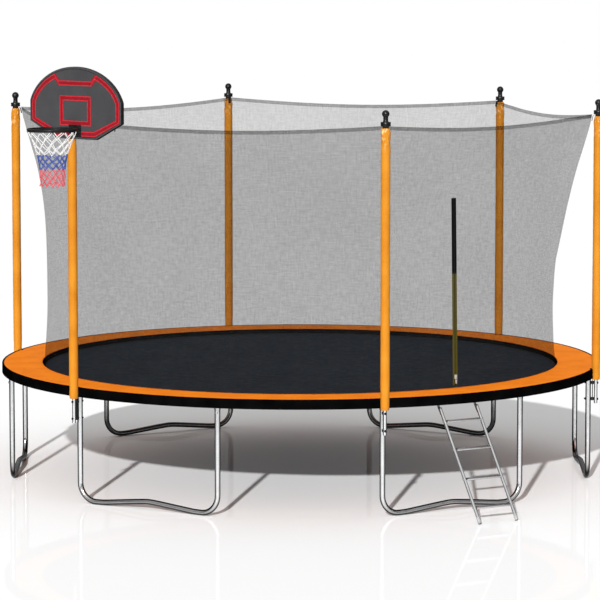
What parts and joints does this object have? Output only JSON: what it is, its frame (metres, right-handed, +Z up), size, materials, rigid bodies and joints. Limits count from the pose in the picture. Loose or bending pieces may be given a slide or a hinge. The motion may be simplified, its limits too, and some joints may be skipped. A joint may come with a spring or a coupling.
{
  "type": "trampoline with enclosure",
  "caption": "Round backyard trampoline on U-shaped legs with a padded spring cover, a see-through safety net on foam-sleeved poles, a zip entry, a basketball hoop and a ladder.",
  "frame": {"origin": "middle of the jumping mat's top face; the ground is 0.764 m below it", "axes": "+Z up; the ladder and the zip entry are on the -Y side; +X to the right when facing the ladder side from outside"},
  "size_m": [4.3, 4.494, 2.974],
  "materials": {
    "galvanised_steel": "bright galvanised tube",
    "black_metal": "satin black powder coat",
    "orange_foam": "foam tube in a smooth orange cover",
    "black_plastic": "moulded, satin",
    "net_cloth": "fine see-through mesh",
    "woven_mat": "tight black weave",
    "orange_vinyl": "smooth padded cover",
    "black_vinyl": "soft black sheet",
    "zip_cloth": "woven tape with coil teeth",
    "light_plastic": "satin",
    "board_plastic": "dark grey with red border lines",
    "hoop_cord": "braided cord in white, blue and red bands"
  },
  "bodies": {
    "frame": {"top_rail_1": "galvanised_steel", "leg_1": "galvanised_steel", "pole_1": "galvanised_steel", "pole_clamp_1": "black_metal", "pole_sleeve_1": "orange_foam", "pole_cap_1": "black_plastic", "net_panel_1": "net_cloth", "top_rail_2": "galvanised_steel", "leg_2": "galvanised_steel", "pole_2": "galvanised_steel", "pole_clamp_2": "black_metal", "pole_sleeve_2": "orange_foam", "pole_cap_2": "black_plastic", "net_panel_2": "net_cloth", "top_rail_3": "galvanised_steel", "leg_3": "galvanised_steel", "pole_3": "galvanised_steel", "pole_clamp_3": "black_metal", "pole_sleeve_3": "orange_foam", "pole_cap_3": "black_plastic", "net_panel_3": "net_cloth", "top_rail_4": "galvanised_steel", "leg_4": "galvanised_steel", "pole_4": "galvanised_steel", "pole_clamp_4": "black_metal", "pole_sleeve_4": "orange_foam", "pole_cap_4": "black_plastic", "net_panel_4": "net_cloth", "top_rail_5": "galvanised_steel", "leg_5": "galvanised_steel", "pole_5": "galvanised_steel", "pole_clamp_5": "black_metal", "pole_sleeve_5": "orange_foam", "pole_cap_5": "black_plastic", "net_panel_5": "net_cloth", "top_rail_6": "galvanised_steel", "leg_6": "galvanised_steel", "pole_6": "galvanised_steel", "pole_clamp_6": "black_metal", "pole_sleeve_6": "orange_foam", "pole_cap_6": "black_plastic", "net_panel_6": "net_cloth", "spring_set": "galvanised_steel", "safety_pad": "orange_vinyl", "pad_skirt": "black_vinyl", "zip_tape": "zip_cloth", "hoop_board": "board_plastic", "hoop_bracket": "black_metal", "hoop_rim": "black_metal", "hoop_net": "hoop_cord"},
    "mat": {"jumping_mat": "woven_mat"},
    "zip_slider": {"zip_slider": "light_plastic"},
    "ladder": {"ladder_rail_left": "galvanised_steel", "ladder_rail_right": "galvanised_steel", "ladder_rung_1": "galvanised_steel", "ladder_rung_2": "galvanised_steel", "ladder_rung_3": "galvanised_steel", "ladder_rung_4": "galvanised_steel"}
  },
  "joints": [
    {"name": "mat_bounce", "type": "slide", "parent": "frame", "child": "mat", "axis": [0, 0, 1], "range_m": [-0.35, 0], "stiffness_N_per_m": 5200, "springref_m": 0.15, "deforming": ["spring_set"]},
    {"name": "zip_slide", "type": "slide", "parent": "frame", "child": "zip_slider", "axis": [-0.0128, 0.0185, 0.9997], "range_m": [0, 1.19]},
    {"name": "ladder_swing", "type": "hinge", "parent": "frame", "child": "ladder", "pos_m": [1.0531, -1.82402, -0.012], "axis": [-0.866, -0.5, 0], "range_deg": [0, 15]}
  ]
}
